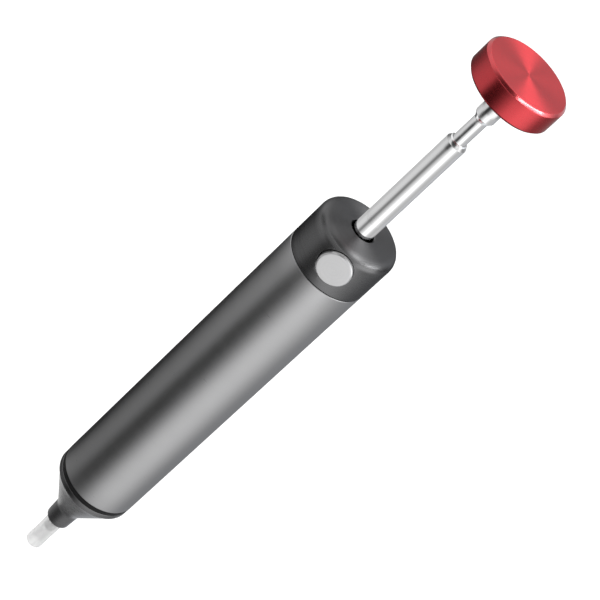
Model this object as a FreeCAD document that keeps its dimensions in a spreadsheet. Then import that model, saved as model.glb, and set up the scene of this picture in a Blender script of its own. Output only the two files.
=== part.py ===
"""Desoldering pump: a spring-loaded suction pump for molten solder.

Millimetres. +Z runs along the barrel from the nozzle to the knob, the origin is the
centre of the nozzle's open end, and the release button is on the -Y side. The plunger
is modelled in its released position, with the rod fully out of the cap.
"""

import FreeCAD, Part
import os
from math import pi

import Sketcher
from FreeCAD import Placement, Rotation, Vector

# ---------------------------------------------------------------- dimensions
# Alias, value or spreadsheet formula, meaning. "Front" is the nozzle end, low Z, and
# "rear" is the knob end, high Z. A formula only uses aliases from the rows above it.
SIZES = [
    # barrel, circlip and spring seat
    ("barrel_rad", 10.0, "barrel outside radius"),
    ("bore_rad", 8.5, "barrel bore radius"),
    ("barrel_front", 29.2, "front face of the barrel"),
    ("barrel_rear", 116.35, "rear face of the barrel, where the cap seats"),
    ("edge_break", 0.25, "broken edge on the turned parts"),
    ("groove_over", 0.5, "how far a groove's section runs past the surface it cuts"),
    ("clip_low", 33.6, "front wall of the circlip groove"),
    ("clip_wide", 1.1, "width of the circlip groove"),
    ("clip_floor_rad", 9.0, "floor radius of the circlip groove"),
    ("clip_inner_rad", 7.4, "inner radius of the circlip"),
    ("clip_thick", 1.0, "thickness of the circlip"),
    ("clip_angle", 325.0, "arc of the circlip"),
    ("clip_end_gap", 0.05, "gap between the groove's front wall and the circlip"),
    ("clip_floor_gap", 0.03, "gap between the groove's floor and the circlip"),
    ("seat_low", "=clip_low + clip_wide", "front face of the spring seat"),
    ("seat_thick", 1.2, "thickness of the spring seat"),
    ("seat_top", "=seat_low + seat_thick", "rear face of the spring seat"),
    ("seat_hole_rad", 5.0, "hole in the spring seat"),
    ("seat_rad", 8.45, "outside of the spring seat"),
    # rod
    ("rod_rad", 2.5, "rod radius"),
    ("rod_seat", 107.4, "rod shoulder on the piston"),
    ("rod_stud_low", 96.4, "end of the rod's lower stud"),
    ("rod_stud_rad", 2.0, "lower stud radius, thread left out"),
    ("rod_full_top", 158.5, "start of the latch shoulder's chamfer"),
    ("neck_low", 159.2, "start of the latch neck"),
    ("neck_step_rad", 2.05, "radius at the top of the shoulder's chamfer"),
    ("neck_step_rise", 0.05, "height of the step from the chamfer into the neck"),
    ("neck_rad", 1.65, "latch neck radius"),
    ("neck_top", 166.2, "end of the latch neck"),
    ("collar_low", 167.2, "start of the collar"),
    ("collar_rad", 2.35, "collar radius"),
    # knob
    ("knob_low", 174.3, "underside of the knob"),
    ("knob_top", 180.4, "face of the knob"),
    ("knob_rad", 10.2, "knob radius"),
    ("knob_break", 0.6, "chamfer of the knob"),
    ("knob_stud_rad", 1.5, "upper stud of the rod, in the knob"),
    ("knob_stud_top", 178.3, "end of the upper stud"),
    # rear cap, bush and bumper
    ("cap_top", 128.35, "rear face of the cap"),
    ("cap_round", 2.4, "rounded rear edge of the cap"),
    ("cap_spigot_low", 109.5, "front end of the cap's spigot"),
    ("cap_spigot_rad", 8.49, "cap spigot, thread flanks left out"),
    ("cap_hole_rad", 2.95, "rod clearance hole through the cap"),
    ("cap_hole_break", 0.3, "countersink of the rod clearance hole"),
    ("bush_top", 118.0, "shoulder that the rod bush seats on"),
    ("bush_rad", 4.5, "outside of the rod bush"),
    ("bush_play", 0.05, "radial play of the rod in its bush"),
    ("bush_bore_rad", "=rod_rad + bush_play", "bore of the rod bush"),
    ("bumper_low", 107.5, "face of the rubber bumper"),
    ("bumper_rad", 7.8, "outside of the rubber bumper"),
    ("bumper_hole_rad", 3.0, "hole in the rubber bumper"),
    ("bumper_round", 0.5, "rounded front edge of the rubber bumper"),
    # release button; distances along its axis are measured from the barrel's axis
    ("button_axis", 123.0, "height of the button's axis"),
    ("button_rad", 4.0, "button radius"),
    ("button_face", 10.65, "button face from the axis"),
    ("button_back", 6.4, "back of the button head from the axis"),
    ("button_dish", 0.35, "chamfer of the button's face"),
    ("button_play", 0.1, "radial play of the button in its hole"),
    ("button_hole_rad", "=button_rad + button_play", "cross hole for the button"),
    ("button_hole_start", 14.0, "start of the cross hole's cut, outside the cap"),
    ("button_hole_end", 8.8, "blind end of the cross hole beyond the axis"),
    # latch plate and its spring
    ("latch_wide", 7.0, "width of the latch plate"),
    ("latch_thick", 3.0, "thickness of the latch plate"),
    ("latch_end", 5.2, "sprung end of the latch plate"),
    ("latch_slot_rad", 2.6, "half width of the latch slot"),
    ("latch_slot_near", 1.5, "centre of the slot's button-side end"),
    ("latch_slot_far", 0.05, "centre of the slot's catching end"),
    ("tenon_wide", 3.0, "tenon between latch plate and button"),
    ("tenon_long", 1.5, "tenon length"),
    ("bspring_rad", 2.6, "button spring mean radius"),
    ("bspring_wire", 0.25, "button spring wire radius"),
    ("bspring_turns", 4.0, "button spring turns"),
    # piston, washer and nut
    ("piston_low", 101.0, "front face of the piston"),
    ("piston_rad", 8.42, "piston radius"),
    ("stud_play", 0.01, "radial play of the rod's lower stud"),
    ("piston_hole_rad", "=rod_stud_rad + stud_play", "hole for the rod's stud"),
    ("ring_gap", 0.02, "gap of a sealing ring from its groove's floor and from the bore"),
    ("ring_slot_low", 103.1, "front wall of the piston's ring groove"),
    ("ring_slot_wide", 2.0, "width of the piston's ring groove"),
    ("ring_slot_rad", 6.86, "floor radius of the piston's ring groove"),
    ("washer_thick", 0.8, "washer under the piston"),
    ("washer_rad", 4.5, "washer radius"),
    ("washer_low", "=piston_low - washer_thick", "front face of the washer"),
    ("nut_thick", 3.2, "nut thickness"),
    ("nut_circum", 4.04, "nut radius across corners"),
    ("nut_low", "=washer_low - nut_thick", "front face of the nut"),
    ("nut_over", 1.0, "how far the nut's hole cutter runs past each face"),
    # spring follower and main spring
    ("follow_low", 98.0, "front end of the follower's collar"),
    ("follow_face", 99.8, "face of the follower that the spring bears on"),
    ("follow_hole_rad", 4.9, "hole in the follower"),
    ("follow_collar_rad", 6.1, "collar that centres the spring"),
    ("follow_rad", 8.3, "follower flange radius"),
    ("spring_rad", 6.9, "main spring mean radius"),
    ("spring_wire", 0.6, "main spring wire radius"),
    ("spring_turns", 12.0, "main spring turns"),
    # cleaning pin
    ("pin_rad", 0.6, "cleaning pin radius"),
    ("pin_tip_rad", "=pin_rad * 0.4", "radius of the pin's blunt point"),
    ("pin_tip", 45.0, "point of the cleaning pin"),
    ("pin_top", 100.9, "inner end of the cleaning pin"),
    ("pin_point", 1.2, "length of the pin's point"),
    # nose and joint ring
    ("neck_front", 10.75, "front end of the nose neck"),
    ("neck_front_rad", 3.05, "nose neck radius at its front end"),
    ("neck_round", 0.7, "rounded front edge of the nose neck"),
    ("nose_neck_rad", 3.3, "nose neck radius at the foot of the cone"),
    ("cone_low", 16.0, "where the cone starts"),
    ("cone_foot_round", 2.2, "fillet at the foot of the cone"),
    ("cone_top", 26.5, "where the cone meets the rim's bevel"),
    ("cone_top_rad", 9.55, "cone radius at the rim's bevel"),
    ("rim_rad", 9.95, "rim radius"),
    ("rim_low", 26.95, "start of the cylindrical rim"),
    ("rim_round", 0.4, "rounded front edge of the cylindrical rim"),
    ("rim_top", 28.3, "rear face of the rim"),
    ("rim_chamfer", 0.2, "chamfer of the rim's rear edge"),
    ("nose_spigot_rad", 8.45, "nose spigot radius"),
    ("nose_spigot_top", 33.1, "rear end of the nose spigot"),
    ("nose_slot_low", 30.5, "front wall of the nose ring groove"),
    ("nose_slot_wide", 1.9, "width of the nose ring groove"),
    ("nose_slot_rad", 6.96, "floor radius of the nose ring groove"),
    ("gasket_hole_rad", 8.46, "inside of the joint ring"),
    ("gasket_rad", 9.8, "outside of the joint ring"),
    ("funnel_low_rad", 2.4, "small end of the nose's hollow"),
    ("funnel_rad", 6.0, "wide part of the nose's hollow"),
    ("funnel_top", 25.6, "where the hollow becomes cylindrical"),
    # nozzle pipe and silicone tube
    ("tube_pocket_rad", 2.25, "pocket for the silicone tube"),
    ("tube_pocket_top", 14.5, "end of the silicone tube's pocket"),
    ("pipe_rad", 1.5, "nozzle pipe outside radius"),
    ("pipe_bore_rad", 1.1, "nozzle pipe bore radius"),
    ("pipe_front", 7.0, "front end of the nozzle pipe"),
    ("pipe_rear", 21.0, "rear end of the nozzle pipe"),
    ("tube_rad", 2.17, "silicone tube outside radius"),
    ("tube_bore_rad", 1.35, "silicone tube bore radius at the tip"),
    ("tube_grip_rad", 1.52, "silicone tube bore radius on the pipe"),
    ("tube_step", 6.9, "where the tube widens over the pipe"),
    ("tube_rear", 14.3, "rear end of the silicone tube"),
]


class Size:
    """A size as the expression that drives it and the number that it comes to."""

    def __init__(self, text, value):
        self.text = text
        self.value = value

    def _join(self, sign, other, combine):
        if not isinstance(other, Size):
            other = Size(repr(float(other)), float(other))
        text = f"({self.text} {sign} {other.text})"
        return Size(text, combine(self.value, other.value))

    def __add__(self, other):
        return self._join("+", other, lambda a, b: a + b)

    def __sub__(self, other):
        return self._join("-", other, lambda a, b: a - b)

    def __mul__(self, other):
        return self._join("*", other, lambda a, b: a * b)

    def __neg__(self):
        return Size(f"(0 - {self.text})", -self.value)


class Dims:
    """Holds each size of the sheet under its alias."""


def fill_sheet():
    """Writes the sizes to the spreadsheet and returns them as a Dims."""
    sheet = doc.addObject("Spreadsheet::Sheet", "Dims")
    sheet.Label = "Dims"
    for row, (alias, value, meaning) in enumerate(SIZES, start=1):
        sheet.set(f"A{row}", meaning)
        sheet.set(f"B{row}", str(value))
        sheet.setAlias(f"B{row}", alias)
    doc.recompute()
    result = Dims()
    for alias, _, _ in SIZES:
        setattr(result, alias, Size(f"Dims.{alias}", float(sheet.get(alias))))
    return result


doc = FreeCAD.newDocument("desoldering_pump")
dims = fill_sheet()
ZERO = Size("0", 0.0)
HALF_TENON = dims.tenon_wide * 0.5
HALF_LATCH = dims.latch_thick * 0.5

PIECES = []  # every object that is exported


# ------------------------------------------------------------------- helpers
def drive(item, prop, size):
    """Sets a property and binds it to the sheet."""
    setattr(item, prop, size.value)
    item.setExpression(prop, size.text)


def raise_to(item, height, rotation=Rotation()):
    """Places an object on the Z axis at a height from the sheet."""
    item.Placement = Placement(Vector(0, 0, height.value), rotation)
    item.setExpression("Placement.Base.z", height.text)


def new_body(name):
    body = doc.addObject("PartDesign::Body", name)
    body.Label = name
    doc.recompute()
    PIECES.append(body)
    return body


def sketch_on(body, role, name, offset=None):
    """A sketch on one of the body's own origin planes, moved along its normal."""
    sketch = body.newObject("Sketcher::SketchObject", name)
    plane = next(o for o in body.Origin.OriginFeatures if o.Role == role)
    sketch.AttachmentSupport = [(plane, "")]
    sketch.MapMode = "FlatFace"
    if offset is not None:
        sketch.AttachmentOffset = Placement(Vector(0, 0, offset.value), Rotation())
        sketch.setExpression("AttachmentOffset.Base.z", offset.text)
    return sketch


def drive_constraint(sketch, tag, size, *definition):
    """Adds a dimension to the sketch and binds it to the sheet."""
    index = sketch.addConstraint(Sketcher.Constraint(*definition, size.value))
    sketch.renameConstraint(index, tag)
    sketch.setExpression(f"Constraints.{tag}", size.text)


def pin_point(sketch, geo, pos, x, y, tag):
    """Ties a point of the sketch to the origin with sizes from the sheet."""
    # -2 is the sketch's vertical axis and -1 its horizontal one.
    for letter, size, axis in (("x", x, -2), ("y", y, -1)):
        if size.value == 0:
            sketch.addConstraint(Sketcher.Constraint("PointOnObject", geo, pos, axis))
        else:
            kind = f"Distance{letter.upper()}"
            drive_constraint(sketch, f"{tag}_{letter}", size, kind, -1, 1, geo, pos)


def outline(sketch, points):
    """A closed outline of straight lines through the points."""
    corners = [Vector(x.value, y.value, 0) for x, y in points]
    count = len(corners)
    for i in range(count):
        sketch.addGeometry(Part.LineSegment(corners[i], corners[(i + 1) % count]), False)
    for i in range(count):
        sketch.addConstraint(Sketcher.Constraint("Coincident", i, 2, (i + 1) % count, 1))
    for i, (x, y) in enumerate(points):
        pin_point(sketch, i, 1, x, y, f"p{i}")


def rectangle(x_low, x_high, y_low, y_high):
    """Corners of a rectangle; in a half section, x is radius and y is height."""
    return [(x_low, y_low), (x_high, y_low), (x_high, y_high), (x_low, y_high)]


def circle(sketch, x, y, radius):
    geo = sketch.addGeometry(
        Part.Circle(Vector(x.value, y.value, 0), Vector(0, 0, 1), radius.value), False
    )
    pin_point(sketch, geo, 3, x, y, "c")
    drive_constraint(sketch, "c_r", radius, "Radius", geo)


def turned(name, points, angle=None):
    """A piece turned about Z from a half section in radius and height."""
    body = new_body(name)
    sketch = sketch_on(body, "XZ_Plane", f"{name}_section")
    outline(sketch, points)
    turn = body.newObject("PartDesign::Revolution", f"{name}_turned")
    turn.Profile = sketch
    turn.ReferenceAxis = (sketch, ["V_Axis"])
    if angle is None:
        turn.Angle = 360.0
    else:
        drive(turn, "Angle", angle)
    doc.recompute()
    return body


def groove(body, name, inner, outer, low, wide):
    """Turns a channel into the body, between two radii, from height low."""
    sketch = sketch_on(body, "XZ_Plane", f"{name}_section")
    outline(sketch, rectangle(inner, outer, low, low + wide))
    cut = body.newObject("PartDesign::Groove", name)
    cut.Profile = sketch
    cut.ReferenceAxis = (sketch, ["V_Axis"])
    cut.Angle = 360.0
    body.Tip = cut
    doc.recompute()


def pocket(body, name, sketch, depth, along_normal):
    """Cuts the sketch into the body, along its plane's normal or against it."""
    cut = body.newObject("PartDesign::Pocket", name)
    cut.Profile = sketch
    cut.Type = "Length"
    cut.Reversed = along_normal
    drive(cut, "Length", depth)
    body.Tip = cut
    doc.recompute()


def dress_edges(body, kind, name, size, *wanted):
    """Fillets or chamfers the circular edges at the given radii and heights."""
    tip = body.Tip
    found = []
    for i, edge in enumerate(tip.Shape.Edges, start=1):
        curve = edge.Curve
        if not isinstance(curve, Part.Circle):
            continue
        for radius, height in wanted:
            same_radius = abs(curve.Radius - radius.value) < 0.01
            if same_radius and abs(curve.Center.z - height.value) < 0.01:
                found.append(f"Edge{i}")
    assert len(found) >= len(wanted), f"{name}: found {found}"
    feature = body.newObject(f"PartDesign::{kind}", name)
    feature.Base = (tip, found)
    drive(feature, "Radius" if kind == "Fillet" else "Size", size)
    body.Tip = feature
    doc.recompute()


def coil_spring(name, mean, wire, low, high, turns):
    """A coil of round wire about the body's Z axis, from height low to height high."""
    body = new_body(name)
    sketch = sketch_on(body, "XZ_Plane", f"{name}_wire")
    circle(sketch, mean, low + wire, wire)
    coil = body.newObject("PartDesign::AdditiveHelix", f"{name}_coil")
    coil.Profile = sketch
    coil.ReferenceAxis = (sketch, ["V_Axis"])
    coil.Mode = "height-turns-angle"
    drive(coil, "Height", high - low - wire * 2.0)
    drive(coil, "Turns", turns)
    doc.recompute()
    return body


def sealing_ring(name, floor, slot_low, slot_wide):
    """A rubber ring of round section, midway between its groove's floor and the bore."""
    torus = doc.addObject("Part::Torus", name)
    torus.Label = name
    drive(torus, "Radius1", (dims.bore_rad + floor) * 0.5)
    drive(torus, "Radius2", (dims.bore_rad - floor) * 0.5 - dims.ring_gap)
    raise_to(torus, slot_low + slot_wide * 0.5)
    PIECES.append(torus)


# ------------------------------------------------------------------- barrel
def barrel_tube():
    """Plain drawn tube, the grip, with a groove for the circlip near the front."""
    front, rear = dims.barrel_front, dims.barrel_rear
    body = turned("barrel_tube", rectangle(dims.bore_rad, dims.barrel_rad, front, rear))
    groove(
        body,
        "clip_groove",
        inner=dims.bore_rad - dims.groove_over,
        outer=dims.clip_floor_rad,
        low=dims.clip_low,
        wide=dims.clip_wide,
    )
    ends = [(dims.barrel_rad, front), (dims.barrel_rad, rear)]
    dress_edges(body, "Chamfer", "barrel_breaks", dims.edge_break, *ends)


def retaining_ring():
    """Spring circlip in the groove."""
    low = dims.clip_low + dims.clip_end_gap
    outer = dims.clip_floor_rad - dims.clip_floor_gap
    section = rectangle(dims.clip_inner_rad, outer, low, low + dims.clip_thick)
    turned("retaining_ring", section, angle=dims.clip_angle)


def spring_seat():
    """Flat washer that the circlip holds and the main spring stands on."""
    turned(
        "spring_seat",
        rectangle(dims.seat_hole_rad, dims.seat_rad, dims.seat_low, dims.seat_top),
    )


# ----------------------------------------------------------------- rear cap
def rear_cap():
    """Head of the barrel's diameter, spigot in the barrel, stepped hole for the rod
    and its bush, and a blind cross hole for the button."""
    body = turned(
        "rear_cap",
        [
            (dims.bush_rad, dims.cap_spigot_low),
            (dims.cap_spigot_rad, dims.cap_spigot_low),
            (dims.cap_spigot_rad, dims.barrel_rear),
            (dims.barrel_rad, dims.barrel_rear),
            (dims.barrel_rad, dims.cap_top),
            (dims.cap_hole_rad, dims.cap_top),
            (dims.cap_hole_rad, dims.bush_top),
            (dims.bush_rad, dims.bush_top),
        ],
    )
    rear_edge = (dims.barrel_rad, dims.cap_top)
    front_edge = (dims.barrel_rad, dims.barrel_rear)
    hole_edge = (dims.cap_hole_rad, dims.cap_top)
    dress_edges(body, "Fillet", "cap_round", dims.cap_round, rear_edge)
    dress_edges(body, "Chamfer", "cap_break", dims.edge_break, front_edge)
    dress_edges(body, "Chamfer", "cap_hole_sink", dims.cap_hole_break, hole_edge)

    # The XZ plane's normal is -Y, so the hole is cut from the button's side towards +Y.
    start = dims.button_hole_start
    sketch = sketch_on(body, "XZ_Plane", "button_hole_circle", offset=start)
    circle(sketch, ZERO, dims.button_axis, dims.button_hole_rad)
    depth = dims.button_hole_end + start
    pocket(body, "button_hole", sketch, depth, along_normal=False)


def rod_bush():
    """Brass bush pressed in the cap that guides the rod."""
    low, high = dims.cap_spigot_low, dims.bush_top
    turned("rod_bush", rectangle(dims.bush_bore_rad, dims.bush_rad, low, high))


def bumper_ring():
    """Rubber ring on the cap's spigot that stops the piston."""
    low, high = dims.bumper_low, dims.cap_spigot_low
    section = rectangle(dims.bumper_hole_rad, dims.bumper_rad, low, high)
    body = turned("bumper_ring", section)
    dress_edges(body, "Fillet", "bumper_round", dims.bumper_round, (dims.bumper_rad, low))


# ------------------------------------------- main spring, follower, piston
def main_spring():
    """Main spring between the seat and the follower."""
    coil_spring(
        "main_spring",
        mean=dims.spring_rad,
        wire=dims.spring_wire,
        low=dims.seat_top,
        high=dims.follow_face,
        turns=dims.spring_turns,
    )


def spring_follower():
    """Flange against the piston, with a collar inside the spring."""
    turned(
        "spring_follower",
        [
            (dims.follow_hole_rad, dims.follow_low),
            (dims.follow_collar_rad, dims.follow_low),
            (dims.follow_collar_rad, dims.follow_face),
            (dims.follow_rad, dims.follow_face),
            (dims.follow_rad, dims.piston_low),
            (dims.follow_hole_rad, dims.piston_low),
        ],
    )


def piston_head():
    """Piston with a groove for its sealing ring."""
    radius, low, high = dims.piston_rad, dims.piston_low, dims.rod_seat
    body = turned("piston_head", rectangle(dims.piston_hole_rad, radius, low, high))
    groove(
        body,
        "piston_ring_groove",
        inner=dims.ring_slot_rad,
        outer=radius + dims.groove_over,
        low=dims.ring_slot_low,
        wide=dims.ring_slot_wide,
    )
    ends = [(radius, low), (radius, high)]
    dress_edges(body, "Chamfer", "piston_breaks", dims.edge_break, *ends)


def piston_o_ring():
    sealing_ring(
        "piston_o_ring", dims.ring_slot_rad, dims.ring_slot_low, dims.ring_slot_wide
    )


def piston_washer():
    """Flat washer between the nut and the piston."""
    low, high = dims.washer_low, dims.piston_low
    turned("piston_washer", rectangle(dims.piston_hole_rad, dims.washer_rad, low, high))


def piston_nut():
    """Hexagon nut on the rod's lower stud."""
    prism = doc.addObject("Part::Prism", "nut_blank")
    prism.Polygon = 6
    drive(prism, "Circumradius", dims.nut_circum)
    drive(prism, "Height", dims.nut_thick)
    raise_to(prism, dims.nut_low)
    hole = doc.addObject("Part::Cylinder", "nut_hole")
    drive(hole, "Radius", dims.piston_hole_rad)
    drive(hole, "Height", dims.nut_thick + dims.nut_over * 2.0)
    raise_to(hole, dims.nut_low - dims.nut_over)
    nut = doc.addObject("Part::Cut", "piston_nut")
    nut.Label = "piston_nut"
    nut.Base = prism
    nut.Tool = hole
    PIECES.append(nut)


# ------------------------------------------------------------ rod, pin, knob
def plunger_rod():
    """Lower stud for the piston, shaft, shoulder and neck for the latch, collar and
    upper stud for the knob. A blind hole in the lower end holds the pin."""
    turned(
        "plunger_rod",
        [
            (dims.pin_rad, dims.rod_stud_low),
            (dims.rod_stud_rad, dims.rod_stud_low),
            (dims.rod_stud_rad, dims.rod_seat),
            (dims.rod_rad, dims.rod_seat),
            (dims.rod_rad, dims.rod_full_top),
            (dims.neck_step_rad, dims.neck_low),
            (dims.neck_rad, dims.neck_low + dims.neck_step_rise),
            (dims.neck_rad, dims.neck_top),
            (dims.collar_rad, dims.collar_low),
            (dims.collar_rad, dims.knob_low),
            (dims.knob_stud_rad, dims.knob_low),
            (dims.knob_stud_rad, dims.knob_stud_top),
            (ZERO, dims.knob_stud_top),
            (ZERO, dims.pin_top),
            (dims.pin_rad, dims.pin_top),
        ],
    )


def cleaning_pin():
    """Wire pin with a blunt point."""
    turned(
        "cleaning_pin",
        [
            (ZERO, dims.pin_tip),
            (dims.pin_tip_rad, dims.pin_tip),
            (dims.pin_rad, dims.pin_tip + dims.pin_point),
            (dims.pin_rad, dims.pin_top),
            (ZERO, dims.pin_top),
        ],
    )


def plunger_knob():
    """Round knob with a blind hole for the rod's upper stud."""
    body = turned(
        "plunger_knob",
        [
            (dims.knob_stud_rad, dims.knob_low),
            (dims.knob_rad, dims.knob_low),
            (dims.knob_rad, dims.knob_top),
            (ZERO, dims.knob_top),
            (ZERO, dims.knob_stud_top),
            (dims.knob_stud_rad, dims.knob_stud_top),
        ],
    )
    ends = [(dims.knob_rad, dims.knob_low), (dims.knob_rad, dims.knob_top)]
    dress_edges(body, "Chamfer", "knob_breaks", dims.knob_break, *ends)


# ------------------------------------------------------------ release button
def release_button():
    """Round button with a slot in its back for the latch plate's tenon."""
    back, face = dims.button_back, dims.button_face
    body = turned("release_button", rectangle(ZERO, dims.button_rad, back, face))
    face_edge = (dims.button_rad, face)
    dress_edges(body, "Chamfer", "button_chamfer", dims.button_dish, face_edge)
    sketch = sketch_on(body, "XY_Plane", "tenon_slot", offset=back)
    outline(sketch, rectangle(-HALF_TENON, HALF_TENON, -HALF_LATCH, HALF_LATCH))
    pocket(body, "tenon_pocket", sketch, dims.tenon_long, along_normal=True)
    # The button's own Z axis points out of the cap, which is -Y of the assembly.
    raise_to(body, dims.button_axis, Rotation(Vector(1, 0, 0), 90))


def draw_latch_slot(sketch):
    """A slot along Y with round ends."""
    radius = dims.latch_slot_rad.value
    near, far = -dims.latch_slot_near, -dims.latch_slot_far
    near_circle = Part.Circle(Vector(0, near.value, 0), Vector(0, 0, 1), radius)
    far_circle = Part.Circle(Vector(0, far.value, 0), Vector(0, 0, 1), radius)
    sketch.addGeometry(
        [
            Part.LineSegment(Vector(radius, near.value, 0), Vector(radius, far.value, 0)),
            Part.ArcOfCircle(far_circle, 0, pi),
            Part.LineSegment(Vector(-radius, far.value, 0), Vector(-radius, near.value, 0)),
            Part.ArcOfCircle(near_circle, pi, 2 * pi),
        ],
        False,
    )
    # Each piece of geometry with the next, end point and start point.
    for joint in ((0, 2, 1, 1), (1, 2, 2, 1), (2, 2, 3, 1), (3, 2, 0, 1)):
        sketch.addConstraint(Sketcher.Constraint("Tangent", *joint))
    sketch.addConstraint(Sketcher.Constraint("Vertical", 0))
    pin_point(sketch, 1, 3, ZERO, far, "far")
    pin_point(sketch, 3, 3, ZERO, near, "near")
    drive_constraint(sketch, "slot_r", dims.latch_slot_rad, "Radius", 1)


def latch_slide():
    """Flat latch plate round the rod. Its slot's far end drops into the rod's neck."""
    body = new_body("latch_slide")
    underside = dims.button_axis - HALF_LATCH
    half_wide = dims.latch_wide * 0.5
    shoulder = -dims.button_back
    tenon_end = -(dims.button_back + dims.tenon_long)
    sketch = sketch_on(body, "XY_Plane", "latch_outline", offset=underside)
    outline(
        sketch,
        [
            (-half_wide, shoulder),
            (-HALF_TENON, shoulder),
            (-HALF_TENON, tenon_end),
            (HALF_TENON, tenon_end),
            (HALF_TENON, shoulder),
            (half_wide, shoulder),
            (half_wide, dims.latch_end),
            (-half_wide, dims.latch_end),
        ],
    )
    plate = body.newObject("PartDesign::Pad", "latch_plate")
    plate.Profile = sketch
    drive(plate, "Length", dims.latch_thick)
    doc.recompute()

    slot = sketch_on(body, "XY_Plane", "latch_slot", offset=underside)
    draw_latch_slot(slot)
    doc.recompute()
    pocket(body, "latch_slot_cut", slot, dims.latch_thick, along_normal=True)


def button_spring():
    """Small spring behind the latch plate, along the button's axis."""
    body = coil_spring(
        "button_spring",
        mean=dims.bspring_rad,
        wire=dims.bspring_wire,
        low=dims.latch_end,
        high=dims.button_hole_end,
        turns=dims.bspring_turns,
    )
    # The spring's own Z axis points to +Y of the assembly, away from the button.
    raise_to(body, dims.button_axis, Rotation(Vector(1, 0, 0), -90))


# --------------------------------------------------------------------- nose
def nose_cone():
    """Neck, cone and rim, with a spigot in the barrel and a funnel-shaped hollow."""
    body = turned(
        "nose_cone",
        [
            (dims.tube_pocket_rad, dims.neck_front),
            (dims.neck_front_rad, dims.neck_front),
            (dims.nose_neck_rad, dims.cone_low),
            (dims.cone_top_rad, dims.cone_top),
            (dims.rim_rad, dims.rim_low),
            (dims.rim_rad, dims.rim_top),
            (dims.nose_spigot_rad, dims.rim_top),
            (dims.nose_spigot_rad, dims.nose_spigot_top),
            (dims.funnel_rad, dims.nose_spigot_top),
            (dims.funnel_rad, dims.funnel_top),
            (dims.funnel_low_rad, dims.pipe_rear),
            (dims.pipe_rad, dims.pipe_rear),
            (dims.pipe_rad, dims.tube_pocket_top),
            (dims.tube_pocket_rad, dims.tube_pocket_top),
        ],
    )
    groove(
        body,
        "nose_ring_groove",
        inner=dims.nose_slot_rad,
        outer=dims.nose_spigot_rad + dims.groove_over,
        low=dims.nose_slot_low,
        wide=dims.nose_slot_wide,
    )
    # Feature, name, size, radius and height of the edge, from front to rear.
    for kind, name, size, radius, height in (
        ("Fillet", "neck_round", dims.neck_round, dims.neck_front_rad, dims.neck_front),
        ("Fillet", "cone_foot", dims.cone_foot_round, dims.nose_neck_rad, dims.cone_low),
        ("Fillet", "rim_shoulder", dims.rim_round, dims.rim_rad, dims.rim_low),
        ("Chamfer", "rim_break", dims.rim_chamfer, dims.rim_rad, dims.rim_top),
    ):
        dress_edges(body, kind, name, size, (radius, height))


def nose_gasket():
    """Flat ring in the joint between the nose's rim and the barrel."""
    low, high = dims.rim_top, dims.barrel_front
    turned("nose_gasket", rectangle(dims.gasket_hole_rad, dims.gasket_rad, low, high))


def nose_o_ring():
    sealing_ring("nose_o_ring", dims.nose_slot_rad, dims.nose_slot_low, dims.nose_slot_wide)


def nozzle_pipe():
    """Thin pipe pressed in the nose; the silicone tube grips its free end."""
    front, rear = dims.pipe_front, dims.pipe_rear
    turned("nozzle_pipe", rectangle(dims.pipe_bore_rad, dims.pipe_rad, front, rear))


def silicone_nozzle():
    """Soft tube at the tip, with a wider bore where it grips the pipe."""
    turned(
        "silicone_nozzle",
        [
            (dims.tube_bore_rad, ZERO),
            (dims.tube_rad, ZERO),
            (dims.tube_rad, dims.tube_rear),
            (dims.tube_grip_rad, dims.tube_rear),
            (dims.tube_grip_rad, dims.tube_step),
            (dims.tube_bore_rad, dims.tube_step),
        ],
    )


# -------------------------------------------------------------------- output
def check_document():
    """Stops if an object failed or a piece isn't one valid solid."""
    bad = [
        (item.Name, list(item.State))
        for item in doc.Objects
        if any(flag in ("Invalid", "Error") for flag in item.State)
    ]
    assert not bad, f"failed objects: {bad}"
    for piece in PIECES:
        shape = piece.Shape
        assert not shape.isNull() and shape.isValid(), f"{piece.Label} is not valid"
        assert len(shape.Solids) == 1, f"{piece.Label} has {len(shape.Solids)} solids"


for build in (
    barrel_tube,
    retaining_ring,
    spring_seat,
    rear_cap,
    rod_bush,
    bumper_ring,
    main_spring,
    spring_follower,
    piston_head,
    piston_o_ring,
    piston_washer,
    piston_nut,
    plunger_rod,
    cleaning_pin,
    plunger_knob,
    release_button,
    latch_slide,
    button_spring,
    nose_cone,
    nose_gasket,
    nose_o_ring,
    nozzle_pipe,
    silicone_nozzle,
):
    build()
doc.recompute()
check_document()

os.makedirs("parts", exist_ok=True)
for piece in PIECES:
    piece.Shape.exportStep(f"parts/{piece.Label}.step")
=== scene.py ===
"""Looks of a desoldering pump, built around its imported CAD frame.

The barrel stands along +Z, nose down and plunger knob on top; the button faces -Y.
The scene is in metres. Sizes of pieces are in mm and scaled by MM.
"""

import math

import bmesh
import bpy
from mathutils import Matrix, Vector


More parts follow.
